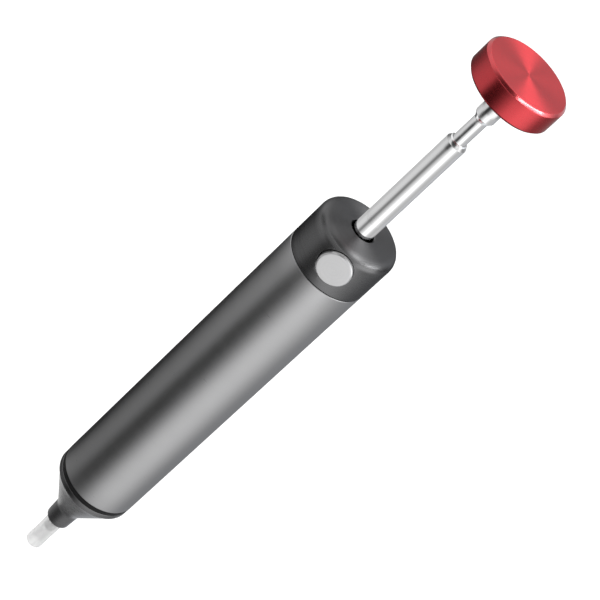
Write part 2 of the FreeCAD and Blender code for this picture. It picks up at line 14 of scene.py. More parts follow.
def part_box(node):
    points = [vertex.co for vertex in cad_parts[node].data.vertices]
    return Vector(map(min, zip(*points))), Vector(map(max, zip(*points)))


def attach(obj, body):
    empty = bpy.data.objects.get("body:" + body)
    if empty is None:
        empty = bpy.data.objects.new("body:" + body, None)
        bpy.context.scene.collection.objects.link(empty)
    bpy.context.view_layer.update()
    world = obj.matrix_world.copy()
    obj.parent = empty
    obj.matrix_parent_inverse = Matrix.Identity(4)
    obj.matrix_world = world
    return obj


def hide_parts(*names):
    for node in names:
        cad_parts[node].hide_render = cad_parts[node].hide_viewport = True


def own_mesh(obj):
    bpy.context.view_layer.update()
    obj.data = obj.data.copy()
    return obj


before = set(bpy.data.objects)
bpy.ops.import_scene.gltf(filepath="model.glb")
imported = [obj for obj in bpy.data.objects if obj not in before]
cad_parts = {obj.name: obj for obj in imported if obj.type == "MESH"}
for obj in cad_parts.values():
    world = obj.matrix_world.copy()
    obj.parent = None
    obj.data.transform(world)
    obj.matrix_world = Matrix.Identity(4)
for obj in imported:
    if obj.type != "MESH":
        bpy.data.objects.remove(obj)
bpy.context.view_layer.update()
MM = 0.001
SIDE = math.radians(-9.0)  # turn of camera and studio about Z, away from the button's side
SPIN = Matrix.Rotation(SIDE, 3, "Z")


# --------------------------------------------------------------------- sizes (mm)
def box_mm(node):
    lo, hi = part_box(node)
    return lo / MM, hi / MM


def smallest_radius(node, z_low, z_high):
    """Smallest radius about Z of a node's vertices between two heights."""
    return min(
        math.hypot(v.co.x, v.co.y) / MM
        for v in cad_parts[node].data.vertices
        if z_low <= v.co.z / MM <= z_high
    )


barrel_lo, barrel_hi = box_mm("barrel_tube")
cap_lo, cap_hi = box_mm("rear_cap")
nose_lo, nose_hi = box_mm("nose_cone")
knob_lo, knob_hi = box_mm("plunger_knob")
rod_lo, rod_hi = box_mm("plunger_rod")
gasket_lo, gasket_hi = box_mm("nose_gasket")
nozzle_hi = box_mm("silicone_nozzle")[1]
pipe_lo, pipe_hi = box_mm("nozzle_pipe")
button_lo, button_hi = box_mm("release_button")
main_spring_lo, main_spring_hi = box_mm("main_spring")
button_spring_lo, button_spring_hi = box_mm("button_spring")

BARREL_R = barrel_hi.x
BORE_R = 8.5
BUTTON_Z = (button_lo.z + button_hi.z) / 2
BUTTON_R = (button_hi.z - button_lo.z) / 2
CROSS_HOLE_R = BUTTON_R + 0.15  # hole in the cap for the button
ROD_HOLE_CHAMFER = 0.3
ROD_HOLE_R = smallest_radius("rear_cap", cap_hi.z - 0.02, cap_hi.z + 0.02) - ROD_HOLE_CHAMFER
CAP_ROUND = 2.4  # corner radius of the cap's top edge


# ------------------------------------------------------------------ mesh helpers
def rounded(profile, steps):
    """A closed profile of (r, z, corner radius) as (r, z) points, its corners made arcs."""
    out = []
    for i, (r, z, radius) in enumerate(profile):
        before, after = profile[i - 1], profile[(i + 1) % len(profile)]
        to_before = Vector((before[0] - r, before[1] - z))
        to_after = Vector((after[0] - r, after[1] - z))
        if radius <= 0 or to_before.length < 1e-6 or to_after.length < 1e-6:
            out.append((r, z))
            continue
        dir_before, dir_after = to_before.normalized(), to_after.normalized()
        half = math.acos(max(-1, min(1, dir_before.dot(dir_after)))) / 2
        if abs(half - math.pi / 2) < 0.02 or half < 0.02:
            out.append((r, z))
            continue
        setback = radius / math.tan(half)
        limit = 0.48 * min(to_before.length, to_after.length)
        if setback > limit:
            setback = limit
            radius = setback * math.tan(half)
        corner = Vector((r, z))
        start = corner + dir_before * setback
        end = corner + dir_after * setback
        centre = corner + (dir_before + dir_after).normalized() * (radius / math.sin(half))
        start_angle = math.atan2(start.y - centre.y, start.x - centre.x)
        end_angle = math.atan2(end.y - centre.y, end.x - centre.x)
        turn = (end_angle - start_angle + math.pi) % (2 * math.pi) - math.pi
        for j in range(steps + 1):
            angle = start_angle + turn * j / steps
            out.append((centre.x + radius * math.cos(angle), centre.y + radius * math.sin(angle)))
    return out


def refined(points, spacing):
    """Splits the sides of a closed outline, except along the axis, to about a spacing."""
    fine = []
    for i, start in enumerate(points):
        end = points[(i + 1) % len(points)]
        fine.append(start)
        cuts = int(math.hypot(end[0] - start[0], end[1] - start[1]) / spacing)
        if start[0] < 1e-6 and end[0] < 1e-6:
            cuts = 0
        for j in range(1, cuts + 1):
            t = j / (cuts + 1)
            fine.append((start[0] + (end[0] - start[0]) * t, start[1] + (end[1] - start[1]) * t))
    return fine


def shade(mesh, angle=32):
    for polygon in mesh.polygons:
        polygon.use_smooth = True
    mesh.set_sharp_from_angle(angle=math.radians(angle))


def add_object(name, data):
    obj = bpy.data.objects.new(name, data)
    bpy.context.scene.collection.objects.link(obj)
    return obj


def mesh_object(name, geom):
    mesh = bpy.data.meshes.new(name)
    geom.to_mesh(mesh)
    geom.free()
    return add_object(name, mesh)


def solid_object(name, geom, angle=32):
    bmesh.ops.recalc_face_normals(geom, faces=geom.faces)
    obj = mesh_object(name, geom)
    shade(obj.data, angle)
    return obj


def lathe(name, profile, segs, steps=4, refine=None):
    """Turns a closed profile of (r, z, corner radius) about Z. Axis points become one vertex."""
    points = rounded(profile, steps)
    if refine:
        points = refined(points, refine)
    geom = bmesh.new()
    rings = []
    for r, z in points:
        if r < 1e-6:
            rings.append([geom.verts.new((0, 0, z * MM))])
            continue
        angles = [2 * math.pi * j / segs for j in range(segs)]
        rings.append(
            [geom.verts.new((r * MM * math.cos(a), r * MM * math.sin(a), z * MM)) for a in angles]
        )
    for i, ring in enumerate(rings):
        after = rings[(i + 1) % len(rings)]
        if len(ring) == 1 and len(after) == 1:
            continue
        for j in range(segs):
            j2 = (j + 1) % segs
            if len(ring) == 1:
                geom.faces.new((ring[0], after[j2], after[j]))
            elif len(after) == 1:
                geom.faces.new((ring[j], ring[j2], after[0]))
            else:
                geom.faces.new((ring[j], ring[j2], after[j2], after[j]))
    return solid_object(name, geom)


def wire_along(name, path, radius, sides):
    """A round, capped wire along a list of points, with parallel-transport frames."""
    geom = bmesh.new()
    points = [Vector(p) * MM for p in path]
    rings = []
    last_tangent = (points[1] - points[0]).normalized()
    normal = last_tangent.orthogonal().normalized()
    for i, point in enumerate(points):
        tangent = (points[min(i + 1, len(points) - 1)] - points[max(i - 1, 0)]).normalized()
        axis = last_tangent.cross(tangent)
        if axis.length > 1e-9:
            turn = Matrix.Rotation(last_tangent.angle(tangent), 3, axis.normalized())
            normal = turn @ normal
        normal = (normal - tangent * normal.dot(tangent)).normalized()
        across = tangent.cross(normal)
        last_tangent = tangent
        ring = []
        for k in range(sides):
            angle = 2 * math.pi * k / sides
            outward = normal * math.cos(angle) + across * math.sin(angle)
            ring.append(geom.verts.new(point + outward * radius * MM))
        rings.append(ring)
    for ring, after in zip(rings, rings[1:]):
        for k in range(sides):
            k2 = (k + 1) % sides
            geom.faces.new((ring[k], ring[k2], after[k2], after[k]))
    geom.faces.new(list(reversed(rings[0])))
    geom.faces.new(rings[-1])
    return solid_object(name, geom, angle=45)


def coil_path(mean_r, wire_r, low, high, turns, dead=1.0):
    """Centre line of a compression spring with `dead` closed turns at each end."""
    steps = 40  # points to a turn
    dead_rise = 2.06 * wire_r * dead
    pitch = (high - low - 2 * wire_r - 2 * dead_rise) / (turns - 2 * dead)
    start = low + wire_r
    points = []
    z = start
    for i in range(int(turns * steps) + 1):
        angle = 2 * math.pi * (i / steps)
        points.append((mean_r * math.cos(angle), mean_r * math.sin(angle), z))
        # the rise eases between the closed end coils and the open ones
        middle = (i + 0.5) / steps
        from_end = min(middle, turns - middle)
        ease = min(1.0, max(0.0, (from_end - dead + 0.25) / 0.5))
        ease = ease * ease * (3 - 2 * ease)
        z += ((1 - ease) * dead_rise / dead + ease * pitch) / steps
    # stretch to end exactly one wire radius below the top
    last = points[-1][2]
    stretch = 1 + (high - wire_r - last) / (last - start)
    return [(x, y, start + (z - start) * stretch) for x, y, z in points]


def apply_modifiers(obj):
    depsgraph = bpy.context.evaluated_depsgraph_get()
    mesh = bpy.data.meshes.new_from_object(obj.evaluated_get(depsgraph))
    obj.modifiers.clear()
    obj.data = mesh


def weld(mesh):
    """Merges corners that a cut left on one point, so no face has a zero-length side."""
    geom = bmesh.new()
    geom.from_mesh(mesh)
    bmesh.ops.remove_doubles(geom, verts=geom.verts, dist=1e-7)
    geom.to_mesh(mesh)
    geom.free()


def cut(obj, cutter):
    """Takes the cutter's shape out of an object and removes the cutter."""
    modifier = obj.modifiers.new("cut", "BOOLEAN")
    modifier.operation = "DIFFERENCE"
    modifier.solver = "EXACT"
    modifier.object = cutter
    bpy.context.view_layer.update()
    apply_modifiers(obj)
    bpy.data.objects.remove(cutter)


def add_bevel(obj, width):
    modifier = obj.modifiers.new("edge", "BEVEL")
    modifier.width = width
    modifier.segments = 2
    modifier.limit_method = "ANGLE"
    modifier.angle_limit = math.radians(40)


def set_material(obj, material):
    obj.data.materials.clear()
    obj.data.materials.append(material)


def place(obj, node, body, material):
    """Makes a finished piece stand for a CAD node and ride on its body."""
    set_material(obj, material)
    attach(obj, body)
    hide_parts(node)


# --------------------------------------------------------- studio brightness curves
# (azimuth in degrees from the camera's side, towards +X; brightness of the surroundings)
LOW = [
    (-180, 0.16), (-165, 0.04), (-140, 0.03), (-126, 0.10), (-112, 0.19), (-98, 0.28),
    (-84, 0.34), (-68, 0.35), (-56, 0.28), (-46, 0.13), (-36, 0.06), (-24, 0.07),
    (-12, 0.18), (0, 0.37), (14, 0.70), (28, 0.97), (44, 1.06), (58, 1.05), (72, 0.92),
    (86, 0.73), (98, 0.60), (112, 0.48), (126, 0.50), (140, 0.64), (154, 0.56),
    (168, 0.36), (180, 0.16),
]
HIGH = [
    (-180, 0.40), (-160, 0.52), (-140, 0.54), (-122, 0.54), (-100, 0.62), (-84, 0.68),
    (-66, 0.68), (-54, 0.62), (-42, 0.42), (-34, 0.26), (-26, 0.22), (-18, 0.32),
    (-8, 0.52), (6, 0.76), (24, 1.15), (40, 1.26), (52, 1.00), (64, 0.70), (78, 0.54),
    (95, 0.50), (120, 0.55), (140, 0.46), (165, 0.38), (180, 0.40),
]
NECK = [
    (-180, 0.34), (-160, 0.48), (-140, 0.50), (-122, 0.52), (-100, 0.60), (-84, 0.66),
    (-66, 0.62), (-54, 0.42), (-44, 0.20), (-34, 0.08), (-22, 0.06), (-12, 0.20),
    (-2, 0.56), (10, 0.85), (24, 1.15), (40, 1.26), (52, 1.00), (64, 0.70), (78, 0.54),
    (95, 0.50), (120, 0.50), (140, 0.40), (165, 0.32), (180, 0.34),
]
KNOB = [
    (-180, 0.25), (-140, 0.15), (-112, 0.28), (-98, 0.45), (-84, 0.56), (-70, 0.60),
    (-58, 0.60), (-46, 0.40), (-38, 0.12), (-28, 0.03), (-16, 0.05), (-6, 0.16),
    (4, 0.34), (14, 0.58), (28, 0.92), (42, 1.04), (56, 1.16), (70, 1.08), (84, 0.86),
    (98, 0.44), (112, 0.28), (126, 0.30), (140, 0.36), (160, 0.40), (180, 0.25),
]
MIDDLE = [
    (-180, 0.30), (-165, 0.26), (-150, 0.72), (-122, 0.85), (-98, 0.34), (-84, 0.28),
    (-60, 0.52), (-20, 0.40), (20, 0.55), (45, 1.10), (60, 1.50), (82, 1.50),
    (98, 0.80), (112, 0.28), (128, 0.24), (146, 0.85), (162, 0.80), (180, 0.30),
]
TOP = [
    (-180, 1.02), (-100, 0.95), (-72, 0.60), (-52, 0.12), (-20, 0.05), (5, 0.08),
    (22, 0.45), (40, 0.90), (180, 1.02),
]
UNDER = [
    (-180, 1.00), (-165, 1.15), (-145, 1.10), (-120, 0.80), (-90, 0.45), (-50, 0.20),
    (0, 0.25), (50, 0.45), (90, 0.60), (120, 0.75), (145, 0.85), (165, 0.90), (180, 1.00),
]
CURVE_TOP = 1.6  # brightness that a curve value of 1 stands for


# ------------------------------------------------------------------- node helpers
class Nodes:
    """Shorthand for building one node tree. Any input takes a value or a socket to link."""

    def __init__(self, owner, output="ShaderNodeOutputMaterial"):
        owner.use_nodes = True
        self.owner = owner
        self.tree = owner.node_tree
        self.tree.nodes.clear()
        self.out = self.node(output)

    def node(self, kind, inputs=None, **props):
        node = self.tree.nodes.new(kind)
        for key, prop in props.items():
            setattr(node, key, prop)
        for key, given in (inputs or {}).items():
            socket = node.inputs[key]
            if isinstance(given, bpy.types.NodeSocket):
                self.tree.links.new(given, socket)
            else:
                socket.default_value = (*given, 1.0) if socket.type == "RGBA" else given
        return node

    def surface(self, shader):
        self.tree.links.new(shader, self.out.inputs["Surface"])

    def math(self, operation, a, b=0.0):
        return self.node("ShaderNodeMath", {0: a, 1: b}, operation=operation).outputs[0]

    def add(self, a, b):
        return self.math("ADD", a, b)

    def sub(self, a, b):
        return self.math("SUBTRACT", a, b)

    def mul(self, a, b):
        return self.math("MULTIPLY", a, b)

    def noise(self, vector, scale, detail, rough):
        inputs = {"Vector": vector, "Scale": scale, "Detail": detail, "Roughness": rough}
        return self.node("ShaderNodeTexNoise", inputs).outputs[0]

    def remap(self, x, span, to=(0.0, 1.0)):
        inputs = {0: x, 1: span[0], 2: span[1], 3: to[0], 4: to[1]}
        return self.node("ShaderNodeMapRange", inputs).outputs[0]

    def mix(self, factor, a, b):
        return self.node("ShaderNodeMix", {0: factor, 6: a, 7: b}, data_type="RGBA").outputs[2]

    def mix_shaders(self, factor, a, b):
        return self.node("ShaderNodeMixShader", {0: factor, 1: a, 2: b}).outputs[0]

    def emission(self, **inputs):
        return self.node("ShaderNodeEmission", inputs).outputs[0]

    def principled(self, inputs):
        return self.node("ShaderNodeBsdfPrincipled", inputs).outputs[0]

    def bump(self, height, strength, distance):
        inputs = {"Strength": strength, "Distance": distance, "Height": height}
        return self.node("ShaderNodeBump", inputs).outputs[0]

    def combine(self, x, y, z):
        return self.node("ShaderNodeCombineXYZ", {0: x, 1: y, 2: z}).outputs[0]

    def split(self, vector):
        return self.node("ShaderNodeSeparateXYZ", {0: vector}).outputs

    def geometry(self, output):
        return self.node("ShaderNodeNewGeometry").outputs[output]

    def object_coords(self):
        return self.node("ShaderNodeTexCoord").outputs["Object"]

    def axis_coords(self, centre=(0, 0, 0), turn=None):
        """Object coordinates, moved and turned so that the turning axis is Z."""
        inputs = {"Vector": self.object_coords(), "Location": tuple(-c for c in centre)}
        vector = self.node("ShaderNodeMapping", inputs).outputs[0]
        if turn:
            inputs = {"Vector": vector, "Rotation": turn}
            vector = self.node("ShaderNodeMapping", inputs).outputs[0]
        return vector

    def radius(self, x, y):
        return self.math("SQRT", self.add(self.mul(x, x), self.mul(y, y)))

    def swing(self, wave, angle, width):
        """A sine or cosine of the angle, narrow so that noise changes slowly round the axis."""
        return self.mul(self.math(wave, angle), width)

    def edge_mask(self):
        """1 along convex and concave edges, 0 on open faces."""
        bevel = self.node("ShaderNodeBevel", {"Radius": 0.00025}, samples=4).outputs[0]
        inputs = {0: bevel, 1: self.geometry("Normal")}
        dot = self.node("ShaderNodeVectorMath", inputs, operation="DOT_PRODUCT")
        return self.remap(self.sub(1.0, dot.outputs["Value"]), span=(0.03, 0.35))

    def circle_fraction(self, azimuth):
        """0 to 1 round the circle, from an azimuth of -pi to pi."""
        return self.add(self.math("DIVIDE", azimuth, 2 * math.pi), 0.5)

    def ray_fraction(self):
        """0 to 1 round the circle: the way a ray is heading, from the camera's side."""
        inputs = {"Vector": self.geometry("Incoming"), "Rotation": (0, 0, -SIDE)}
        x, y, z = self.split(self.node("ShaderNodeMapping", inputs).outputs[0])
        return self.circle_fraction(self.math("ARCTAN2", self.mul(x, -1.0), y))

    def brightness(self, fraction, stops):
        """A smooth curve through (azimuth, brightness) stops."""
        node = self.node("ShaderNodeFloatCurve", {"Value": fraction})
        curve = node.mapping.curves[0]
        points = [((azimuth + 180) / 360, level / CURVE_TOP) for azimuth, level in stops]
        curve.points[0].location = points[0]
        curve.points[1].location = points[-1]
        for point in points[1:-1]:
            curve.points.new(*point)
        for point in curve.points:
            point.handle_type = "AUTO_CLAMPED"
        node.mapping.use_clip = False
        node.mapping.update()
        return self.mul(node.outputs[0], CURVE_TOP)


def new_material(name):
    return Nodes(bpy.data.materials.new(name))


# --------------------------------------------------------------------- materials
def coat_and_painted_shade_edges(tree, colour, base, z, coat_and_painted_shade):
    """Paints shade on the slanted lower edge by darkening its colour, and glosses the slanted upper
    one.

    Returns the colour and the coat inputs.
    """
    normal_z = tree.split(tree.geometry("Normal"))[2]
    # painted shade: the downward-slanting lower chamfer, below a height, gets a darkened colour
    painted_shade_mask = tree.mul(
        tree.remap(normal_z, span=(-0.25, -0.55)), tree.remap(normal_z, span=(-0.96, -0.85))
    )
    painted_shade_mask = tree.mul(painted_shade_mask, tree.math("LESS_THAN", z, coat_and_painted_shade["painted_shade_below"]))
    colour = tree.mix(painted_shade_mask, colour, tuple(c * coat_and_painted_shade["painted_shade_level"] for c in base))
    rim = tree.mul(
        tree.remap(normal_z, span=(0.30, 0.45)), tree.remap(normal_z, span=(0.93, 0.85))
    )
    weight, rough = coat_and_painted_shade["weight"], coat_and_painted_shade["rough"]
    level = tree.mul(tree.sub(1.0, painted_shade_mask), weight)
    return colour, {
        "Coat Weight": tree.add(level, tree.mul(rim, coat_and_painted_shade["rim_weight"] - weight)),
        "Coat Roughness": tree.add(rough, tree.mul(rim, coat_and_painted_shade["rim_rough"] - rough)),
        "Coat IOR": 1.6,
    }


def paint_sky_glow(tree, shader, height):
    """Paints a glow of the bright surroundings, seen only by reflected rays, on up-facing parts
    above a height.
    """
    glossy = tree.node("ShaderNodeLightPath").outputs["Is Glossy Ray"]
    x, y, z = tree.split(tree.geometry("Position"))
    top = tree.math("GREATER_THAN", z, height)
    normal_z = tree.split(tree.geometry("True Normal"))[2]
    top = tree.mul(top, tree.math("GREATER_THAN", normal_z, 0.05))
    # but not right beside the rod's hole
    clear_r = (ROD_HOLE_R + 0.45) * MM
    top = tree.mul(top, tree.math("GREATER_THAN", tree.radius(x, y), clear_r))
    # painted reflection: the part glows with the surroundings' brightness for reflected rays
    painted_sky_glow = tree.emission(Strength=tree.brightness(tree.ray_fraction(), HIGH))
    return tree.mix_shaders(tree.mul(top, glossy), shader, painted_sky_glow)


def turned_metal(
    name,
    base,
    *,
    rough,
    line_depth,
    mottling,
    smudge,
    wear,
    aniso=0.0,
    wear_colour=(0.72, 0.72, 0.73),
    speckle=0.0,
    tint=(1.0, 1.0, 1.0),
    centre=(0, 0, 0),
    turn=None,
    tangent_axis="Z",
    faced=None,
    coat_and_painted_shade=None,
    sky_above=None,
):
    """Turned metal: fine lathe marks round the axis, grain, smudges, and paler worn edges.

    line_depth, mottling and speckle vary the colour; smudge varies the roughness; wear is
    how far edges go to wear_colour; centre and turn place the turning axis.
    faced, lacquer and sky_above are optional; see the uses below. lacquer also paints shade on a
    lower chamfer, and sky_above gives a painted glow that only reflected rays see.
    """
    tree = new_material(name)
    vector = tree.axis_coords(centre, turn)
    x, y, z = tree.split(vector)
    along = tree.add(z, tree.radius(x, y))
    angle = tree.math("ARCTAN2", y, x)
    # lathe marks: noise that changes fast along the axis and slowly round it
    ring = tree.combine(
        tree.mul(along, 1.0),
        tree.swing("SINE", angle, width=0.00012),
        tree.swing("COSINE", angle, width=0.00012),
    )
    fine = tree.noise(ring, scale=6000.0, detail=2.0, rough=0.6)
    coarse = tree.noise(ring, scale=6000.0 * 0.23, detail=2.0, rough=0.5)
    lines = tree.add(tree.mul(fine, 0.6), tree.mul(coarse, 0.4))
    grain = tree.noise(vector, scale=9000.0, detail=2.0, rough=0.6)
    cloud = tree.noise(vector, scale=90.0, detail=4.0, rough=0.6)
    smear = tree.noise(vector, scale=340.0, detail=5.0, rough=0.65)

    # colour: dye mottling, lathe lines, speckle, worn edges
    tone = tree.add(1.0 - mottling / 2, tree.mul(cloud, mottling))
    line_tone = tree.remap(lines, span=(0.3, 0.7), to=(1.0 - line_depth, 1.0 + line_depth))
    tone = tree.mul(tone, line_tone)
    grain_tone = tree.remap(grain, span=(0.25, 0.75), to=(1.0 - speckle, 1.0 + speckle))
    tone = tree.mul(tone, grain_tone)
    dyed = tree.node("ShaderNodeVectorMath", {0: base, "Scale": tone}, operation="SCALE")
    worn = tree.mul(tree.edge_mask(), tree.remap(smear, span=(0.42, 0.62), to=(0.0, wear)))
    colour = tree.mix(worn, dyed.outputs[0], wear_colour)
    coat = {}
    # the coat, and painted shade darkening the lower chamfer's colour
    if coat_and_painted_shade:
        colour, coat = coat_and_painted_shade_edges(tree, colour, base, z, coat_and_painted_shade)

    # roughness: smudges and lines
    roughness = tree.add(rough, tree.mul(tree.sub(smear, 0.5), smudge * 2))
    roughness = tree.add(roughness, tree.mul(tree.sub(lines, 0.5), 0.10))
    anisotropy = aniso
    if faced:
        # faces square to the axis have coarser, spiral marks that fan the light
        normal_z = tree.split(tree.geometry("Normal"))[2]
        facing = tree.remap(tree.math("ABSOLUTE", normal_z), span=faced["normal_z"])
        roughness = tree.add(roughness, tree.mul(facing, faced["rough"] - rough))
        anisotropy = tree.remap(facing, span=(0.0, 1.0), to=(aniso, faced["aniso"]))
    tangent = tree.node("ShaderNodeTangent", direction_type="RADIAL", axis=tangent_axis)
    height = tree.add(lines, tree.mul(grain, 0.5))
    shader = tree.principled({
        "Base Color": colour,
        "Metallic": 1.0,
        "Roughness": roughness,
        "Anisotropic": anisotropy,
        "Anisotropic Rotation": 0.25,
        "Tangent": tangent.outputs[0],
        "Specular Tint": tint,
        "Normal": tree.bump(height, strength=0.16, distance=0.00002),
        **coat,
    })
    if sky_above:
        shader = paint_sky_glow(tree, shader, sky_above)
    tree.surface(shader)
    return tree.owner


def rubber(name):
    """Black rubber with fine grain and a little dust."""
    tree = new_material(name)
    vector = tree.axis_coords()
    dust = tree.noise(vector, scale=700.0, detail=5.0, rough=0.7)
    grain = tree.noise(vector, scale=6000.0, detail=3.0, rough=0.6)
    dusty = tree.remap(dust, span=(0.45, 0.75), to=(0.0, 0.35))
    tree.surface(tree.principled({
        "Base Color": tree.mix(dusty, (0.004, 0.004, 0.0045), (0.014, 0.014, 0.0135)),
        "Roughness": tree.remap(dust, span=(0.3, 0.7), to=(0.42, 0.68)),
        "Specular IOR Level": 0.25,
        "Normal": tree.bump(grain, strength=0.35, distance=0.00004),
    }))
    return tree.owner


def plastic(name):
    """Off-white turned plastic with lathe lines."""
    base = (0.80, 0.79, 0.75)
    tree = new_material(name)
    vector = tree.axis_coords()
    x, y, z = tree.split(vector)
    angle = tree.math("ARCTAN2", y, x)
    ring = tree.combine(z, tree.swing("SINE", angle, width=0.0001), tree.radius(x, y))
    lines = tree.noise(ring, scale=5000.0, detail=2.0, rough=0.5)
    cloud = tree.noise(vector, scale=300.0, detail=4.0, rough=0.6)
    cloudy = tree.remap(cloud, span=(0.35, 0.7))
    tree.surface(tree.principled({
        "Base Color": tree.mix(cloudy, base, tuple(c * 0.9 for c in base)),
        "Roughness": tree.remap(lines, span=(0.3, 0.7), to=(0.30, 0.48)),
        "Subsurface Weight": 0.12,
        "Subsurface Radius": (0.001, 0.001, 0.0008),
        "Normal": tree.bump(lines, strength=0.2, distance=0.00003),
    }))
    return tree.owner


def silicone(name):
    """Milky translucent tube that lets the pipe inside show, with faint rings."""
    tree = new_material(name)
    vector = tree.axis_coords()
    x, y, z = tree.split(vector)
    angle = tree.math("ARCTAN2", y, x)
    cloud = tree.noise(vector, scale=700.0, detail=4.0, rough=0.6)
    ring = tree.combine(
        z,
        tree.swing("SINE", angle, width=0.0004),
        tree.swing("COSINE", angle, width=0.0004),
    )
    lines = tree.noise(ring, scale=1500.0, detail=2.0, rough=0.5)
    height = tree.add(tree.mul(lines, 0.6), tree.mul(cloud, 0.4))
    cloudy = tree.remap(cloud, span=(0.3, 0.7))
    milky = tree.principled({
        "Base Color": tree.mix(cloudy, (0.73, 0.73, 0.73), (0.65, 0.65, 0.65)),
        "Roughness": tree.remap(cloud, span=(0.3, 0.7), to=(0.22, 0.34)),
        "IOR": 1.41,
        "Subsurface Weight": 0.2,
        "Subsurface Radius": (0.0006, 0.0006, 0.0006),
        "Normal": tree.bump(height, strength=0.10, distance=0.00002),
    })
    # clearer where the wall is seen face on, milky at the edges
    facing = tree.node("ShaderNodeLayerWeight", {"Blend": 0.35}).outputs["Facing"]
    clear = tree.node("ShaderNodeBsdfTransparent", {"Color": (0.95, 0.95, 0.95)}).outputs[0]
    milkiness = tree.remap(facing, span=(0.0, 1.0), to=(0.30, 0.95))
    tree.surface(tree.mix_shaders(milkiness, clear, milky))
    return tree.owner


# Shared by the nose and the rear cap.
DARK_FINISH = dict(
    base=(0.175, 0.175, 0.178),
    rough=0.27,
    mottling=0.08,
    smudge=0.05,
    wear=0.22,
    wear_colour=(0.5, 0.5, 0.5),
    speckle=0.03,
)
BARREL_MAT = turned_metal(
    "barrel_anodised", (0.475, 0.475, 0.48), rough=0.30, line_depth=0.015, mottling=0.05,
    smudge=0.04, wear=0.2, speckle=0.02, tint=(0.5, 0.5, 0.5),
)
DARK_MAT = turned_metal(
    "dark_anodised", **DARK_FINISH, aniso=0.45, line_depth=0.04, tint=(0.85, 0.85, 0.85)
)
RED_MAT = turned_metal(
    "red_anodised", (0.69, 0.049, 0.060), rough=0.26, aniso=0.75, line_depth=0.04,
    mottling=0.05, smudge=0.03, wear=0.25, wear_colour=(0.85, 0.35, 0.34), speckle=0.02,
    tint=(0.6, 0.5, 0.5),
    faced=dict(rough=0.47, aniso=0.86, normal_z=(0.93, 0.985)),
    # a coat, and painted shade: the lower chamfer's colour darkened to 0.35 below 176 mm
    coat_and_painted_shade=dict(
        weight=0.5, rough=0.18, rim_weight=1.0, rim_rough=0.15, painted_shade_below=176.0 * MM, painted_shade_level=0.35
    ),
)
ROD_MAT = turned_metal(
    "bright_rod", (0.93, 0.93, 0.935), rough=0.08, line_depth=0.01, mottling=0.02,
    smudge=0.03, wear=0.0,
)
BUTTON_MAT = turned_metal(
    "turned_aluminium", (0.69, 0.69, 0.695), rough=0.30, aniso=0.3, line_depth=0.03,
    mottling=0.03, smudge=0.04, wear=0.0, centre=(0, 0, BUTTON_Z * MM),
    turn=(math.radians(-90), 0, 0), tangent_axis="Y",
)
STEEL_MAT = turned_metal(
    "zinc_plated_steel", (0.62, 0.62, 0.63), rough=0.26, aniso=0.3, line_depth=0.05,
    mottling=0.12, smudge=0.06, wear=0.2,
)
PIPE_MAT = turned_metal(
    "drawn_steel_pipe", (0.20, 0.20, 0.205), rough=0.30, line_depth=0.04, mottling=0.12,
    smudge=0.05, wear=0.1,
)
SPRING_MAT = turned_metal(
    "spring_wire", (0.47, 0.475, 0.49), rough=0.24, line_depth=0.04, mottling=0.15,
    smudge=0.06, wear=0.0, speckle=0.05,
)
BRASS_MAT = turned_metal(
    "turned_brass", (0.78, 0.56, 0.25), rough=0.24, aniso=0.4, line_depth=0.05,
    mottling=0.12, smudge=0.06, wear=0.1, wear_colour=(0.9, 0.75, 0.45),
)
RUBBER_MAT = rubber("black_rubber")
PLASTIC_MAT = plastic("turned_acetal")
SILICONE_MAT = silicone("clear_silicone")


# ------------------------------------------------------------------------ pieces
# Profiles are closed outlines of (radius, height, corner radius) in mm.
def build_barrel():
    """Drawn tube with an inner groove for the circlip and softly broken ends."""
    groove_low, groove_high, groove_r = 33.6, 34.7, 9.0
    profile = [
        (BORE_R, barrel_lo.z, 0.12),
        (BARREL_R - 0.40, barrel_lo.z, 0.06),
        (BARREL_R, barrel_lo.z + 0.55, 0.08),
        (BARREL_R, barrel_hi.z - 0.10, 0.04),
        (BARREL_R - 0.10, barrel_hi.z, 0.03),
        (BORE_R, barrel_hi.z, 0.12),
        (BORE_R, groove_high, 0.05),
        (groove_r, groove_high, 0.03),
        (groove_r, groove_low, 0.03),
        (BORE_R, groove_low, 0.05),
    ]
    barrel = lathe("barrel_tube_fine", profile, segs=192, refine=6.0)
    place(barrel, "barrel_tube", "barrel", BARREL_MAT)


def cap_profile():
    spigot_r, bore_r, bore_top = 8.49, 4.5, 118.0
    thread_pitch, thread_depth = 0.56, 0.36
    profile = [(bore_r, cap_lo.z, 0.15), (spigot_r - 0.45, cap_lo.z, 0.10)]
    z = cap_lo.z + 0.45
    while z < barrel_hi.z - 1.35:
        profile += [
            (spigot_r, z, 0.04),
            (spigot_r, z + 0.10, 0.04),
            (spigot_r - thread_depth, z + 0.30, 0.04),
            (spigot_r - thread_depth, z + 0.36, 0.04),
        ]
        z += thread_pitch
    return profile + [
        # relief above the thread
        (spigot_r - 0.4, barrel_hi.z - 0.8, 0.08),
        (spigot_r - 0.4, barrel_hi.z, 0.05),
        # head
        (BARREL_R - 0.35, barrel_hi.z, 0.02),
        (BARREL_R - 0.35, barrel_hi.z + 0.12, 0.03),
        (BARREL_R, barrel_hi.z + 0.30, 0.08),
        (BARREL_R, cap_hi.z, CAP_ROUND),
        # rod hole
        (ROD_HOLE_R + ROD_HOLE_CHAMFER, cap_hi.z, 0.10),
        (ROD_HOLE_R, cap_hi.z - ROD_HOLE_CHAMFER, 0.08),
        (ROD_HOLE_R, bore_top, 0.05),
        (bore_r, bore_top, 0.0),
    ]


